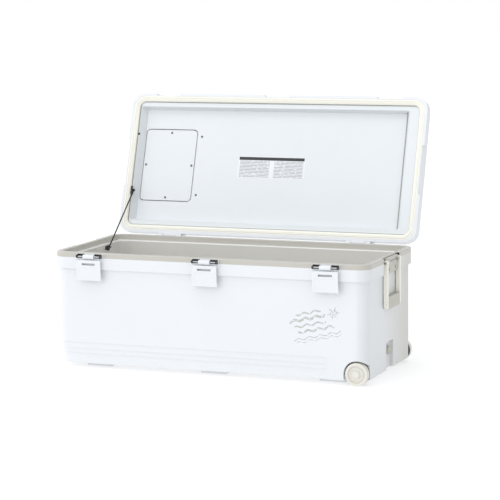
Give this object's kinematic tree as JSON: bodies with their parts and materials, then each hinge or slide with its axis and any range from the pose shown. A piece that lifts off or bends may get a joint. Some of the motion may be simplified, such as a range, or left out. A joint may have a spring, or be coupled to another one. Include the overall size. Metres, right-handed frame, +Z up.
{
  "type": "wheeled cooler",
  "caption": "Long hard cool box on two wheels with a hinged insulated lid standing open on a rod stay, a hatch in the lid, flip-up latches, carrying handles and a drain plug.",
  "frame": {"origin": "on the floor under the middle of the body, on the underside of the middle runner", "axes": "+X along the body towards the wheels, -Y towards the latches, +Z up"},
  "size_m": [0.997, 0.6594, 0.7775],
  "materials": {
    "white": "glossy",
    "beige": "satin",
    "cream": "satin",
    "grey": "satin",
    "steel": "bright",
    "black": "matte",
    "foam": "matte",
    "rubber": "matte",
    "label": "printed film"
  },
  "bodies": {
    "body": {"outer_shell": "white", "foam_core": "foam", "inner_liner": "grey", "top_rim": "beige", "runners": "white", "latch_bases": "white", "latch_pins": "steel", "latch_base_screws": "steel", "handle_bracket_right": "beige", "handle_bracket_left": "beige", "handle_pins": "steel", "handle_bracket_screws": "steel", "wheel_axles": "steel", "drain_socket": "white", "hinge_bases": "white", "hinge_pins": "steel", "hinge_screws": "steel", "stay_guide": "black", "stay_guide_screws": "steel"},
    "lid": {"lid_shell": "white", "lid_foam": "foam", "lid_edge_foam": "foam", "lid_liner": "white", "lid_frame": "cream", "lid_gasket": "white", "lid_label": "label", "latch_catches": "steel", "hinge_leaves": "white", "stay_bracket": "black", "stay_bracket_screws": "steel", "hatch_frame": "white", "hatch_frame_screws": "steel", "hatch_hinge_pins": "steel"},
    "hatch": {"hatch_skin": "white", "hatch_core": "foam", "hatch_plate": "white", "hatch_plate_screws": "steel", "hatch_seal": "rubber"},
    "stay": {"lid_stay": "steel", "stay_stop": "black"},
    "latch_a": {"latch_left": "white"},
    "latch_b": {"latch_middle": "white"},
    "latch_c": {"latch_right": "white"},
    "handle_a": {"handle_right": "cream", "grip_right": "beige"},
    "handle_b": {"handle_left": "cream", "grip_left": "beige"},
    "wheel_a": {"wheel_front": "cream"},
    "wheel_b": {"wheel_rear": "cream"},
    "drain": {"drain_plug": "beige", "drain_seal": "rubber"}
  },
  "joints": [
    {"name": "lid_hinge", "type": "hinge", "parent": "body", "child": "lid", "pos_m": [0, 0.23, 0.345], "axis": [1, 0, 0], "range_deg": [0, 108]},
    {"name": "stay_pivot", "type": "hinge", "parent": "lid", "child": "stay", "pos_m": [-0.453, 0.2795, 0.47632], "axis": [1, 0, 0], "range_deg": [-54, 0]},
    {"name": "hatch_hinge", "type": "hinge", "parent": "lid", "child": "hatch", "pos_m": [-0.355, 0.32214, 0.41337], "axis": [-1, 0, 0], "range_deg": [0, 110]},
    {"name": "latch_left_hinge", "type": "hinge", "parent": "body", "child": "latch_a", "pos_m": [-0.367, -0.2298, 0.3355], "axis": [-1, 0, 0], "range_deg": [0, 178]},
    {"name": "latch_middle_hinge", "type": "hinge", "parent": "body", "child": "latch_b", "pos_m": [0, -0.2298, 0.3355], "axis": [-1, 0, 0], "range_deg": [0, 178]},
    {"name": "latch_right_hinge", "type": "hinge", "parent": "body", "child": "latch_c", "pos_m": [0.367, -0.2298, 0.3355], "axis": [-1, 0, 0], "range_deg": [0, 178]},
    {"name": "handle_right_hinge", "type": "hinge", "parent": "body", "child": "handle_a", "pos_m": [0.491, 0, 0.33], "axis": [0, -1, 0], "range_deg": [0, 100]},
    {"name": "handle_left_hinge", "type": "hinge", "parent": "body", "child": "handle_b", "pos_m": [-0.491, 0, 0.33], "axis": [0, 1, 0], "range_deg": [0, 100]},
    {"name": "wheel_front_spin", "type": "hinge", "parent": "body", "child": "wheel_a", "pos_m": [0.452, -0.201, 0.033], "axis": [0, 1, 0], "continuous": true},
    {"name": "wheel_rear_spin", "type": "hinge", "parent": "body", "child": "wheel_b", "pos_m": [0.452, 0.201, 0.033], "axis": [0, 1, 0], "continuous": true},
    {"name": "drain_pull", "type": "slide", "parent": "body", "child": "drain", "axis": [1, 0, 0], "range_m": [0, 0.03]}
  ],
  "couplings": [
    {"joint": "stay_pivot", "follows": "lid_hinge", "ratio": -0.5}
  ]
}
